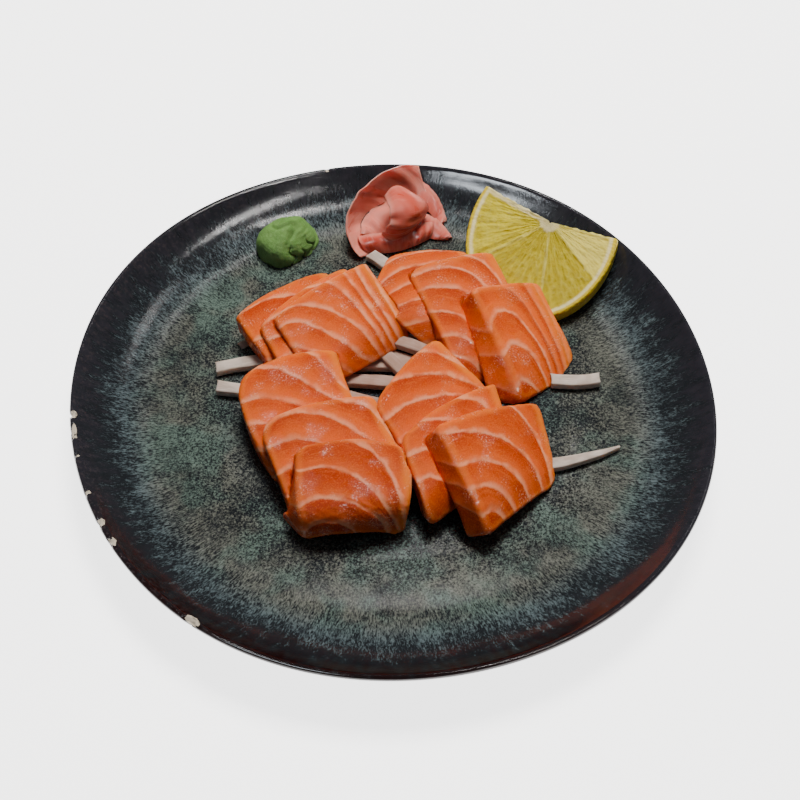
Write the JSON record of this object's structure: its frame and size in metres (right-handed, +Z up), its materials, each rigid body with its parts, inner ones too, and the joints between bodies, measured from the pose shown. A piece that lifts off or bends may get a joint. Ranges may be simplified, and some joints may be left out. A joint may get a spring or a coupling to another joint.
{
  "type": "plate of salmon sashimi",
  "caption": "Round coupe plate with fans of sliced raw salmon on a bed of daikon strips, pickled ginger, wasabi and half a lemon slice.",
  "frame": {"origin": "on the table, under the middle of the plate", "axes": "+Z up, +Y to the back, where the ginger lies, and +X to the right"},
  "size_m": [0.2191, 0.2192, 0.0291],
  "materials": {
    "glaze": "glossy speckled black reactive glaze",
    "salmon": "wet raw salmon with pale fat lines",
    "daikon": "wet translucent off-white",
    "wasabi": "matte creased paste",
    "lemon": "wet flesh inside a pale pith",
    "ginger": "wet thin translucent slices"
  },
  "bodies": {
    "root": {"plate": "glaze", "daikon_heap": "daikon", "wasabi": "wasabi", "lemon_slice": "lemon", "salmon_back_left_1": "salmon", "salmon_back_left_2": "salmon", "salmon_back_left_3": "salmon", "salmon_back_right_1": "salmon", "salmon_back_right_2": "salmon", "salmon_back_right_3": "salmon", "salmon_front_left_1": "salmon", "salmon_front_left_2": "salmon", "salmon_front_left_3": "salmon", "salmon_front_right_1": "salmon", "salmon_front_right_2": "salmon", "salmon_front_right_3": "salmon", "daikon_strip_left_1": "daikon", "daikon_strip_left_2": "daikon", "daikon_strip_back": "daikon", "daikon_strip_right_1": "daikon", "daikon_strip_right_2": "daikon", "ginger_outer": "ginger", "ginger_inner": "ginger", "ginger_fold": "ginger", "ginger_back": "ginger", "ginger_front": "ginger", "ginger_right": "ginger"}
  },
  "joints": []
}
